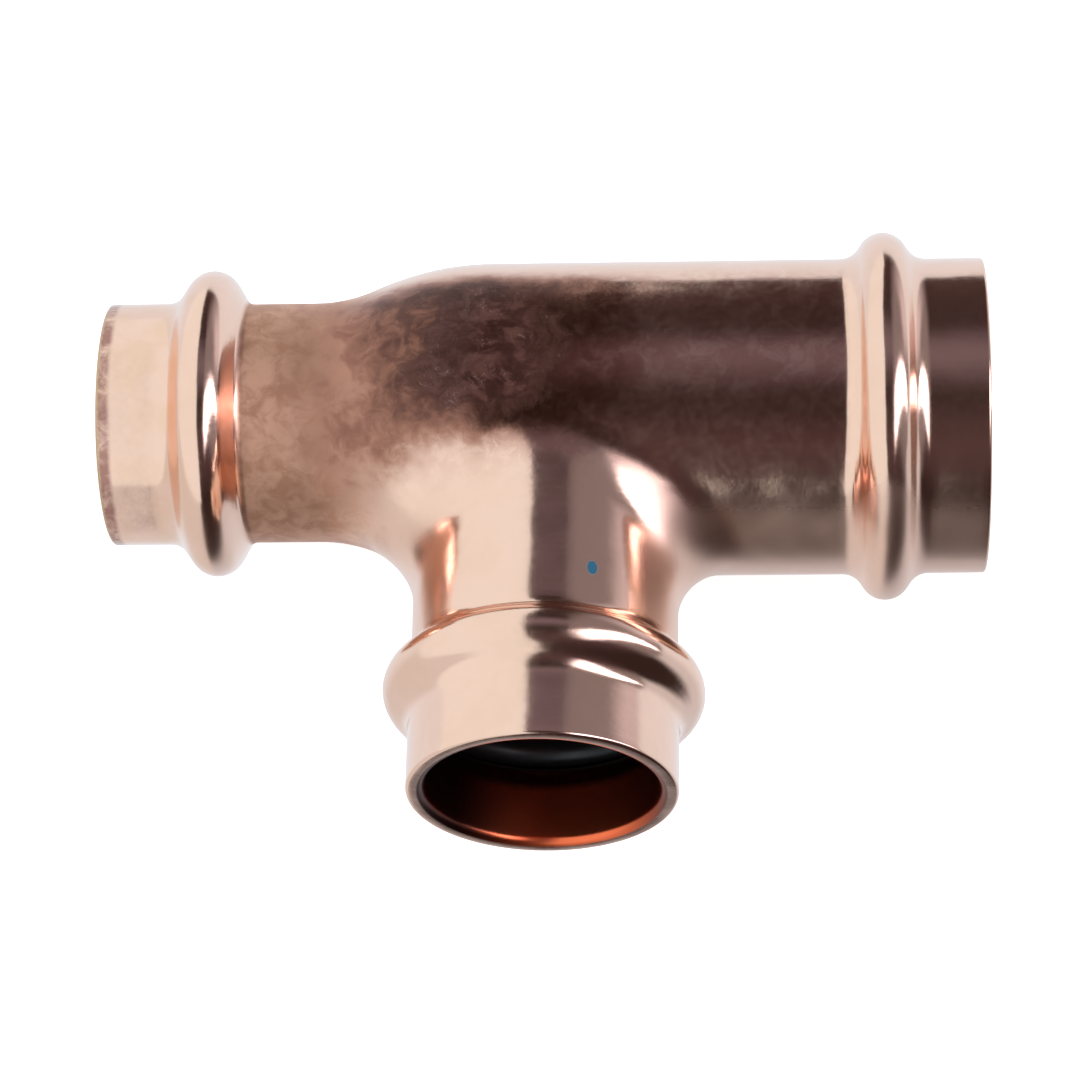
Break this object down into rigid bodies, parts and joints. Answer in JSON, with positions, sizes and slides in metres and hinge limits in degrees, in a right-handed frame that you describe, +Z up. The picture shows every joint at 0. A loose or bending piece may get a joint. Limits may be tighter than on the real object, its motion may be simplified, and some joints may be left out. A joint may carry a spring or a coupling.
{
  "type": "reducing press tee fitting",
  "caption": "Copper press-fit reducing tee: a large and a small run socket and a small branch socket, each with a rounded bead that holds a rubber sealing ring.",
  "frame": {"origin": "under the middle of the bounding box, on the surface that the large bead rests on", "axes": "+X out of the large run socket, -X out of the small run socket, -Y out of the branch, +Z up; the two tube axes cross at (0.3, 11.45, 18.1) mm"},
  "size_m": [0.0862, 0.059, 0.0362],
  "materials": {
    "copper": "bright formed copper, slightly tarnished",
    "seal_rubber": "smooth black rubber"
  },
  "bodies": {
    "root": {"tee_body": "copper", "run_large_seal": "seal_rubber", "run_small_seal": "seal_rubber", "branch_seal": "seal_rubber"}
  },
  "joints": []
}
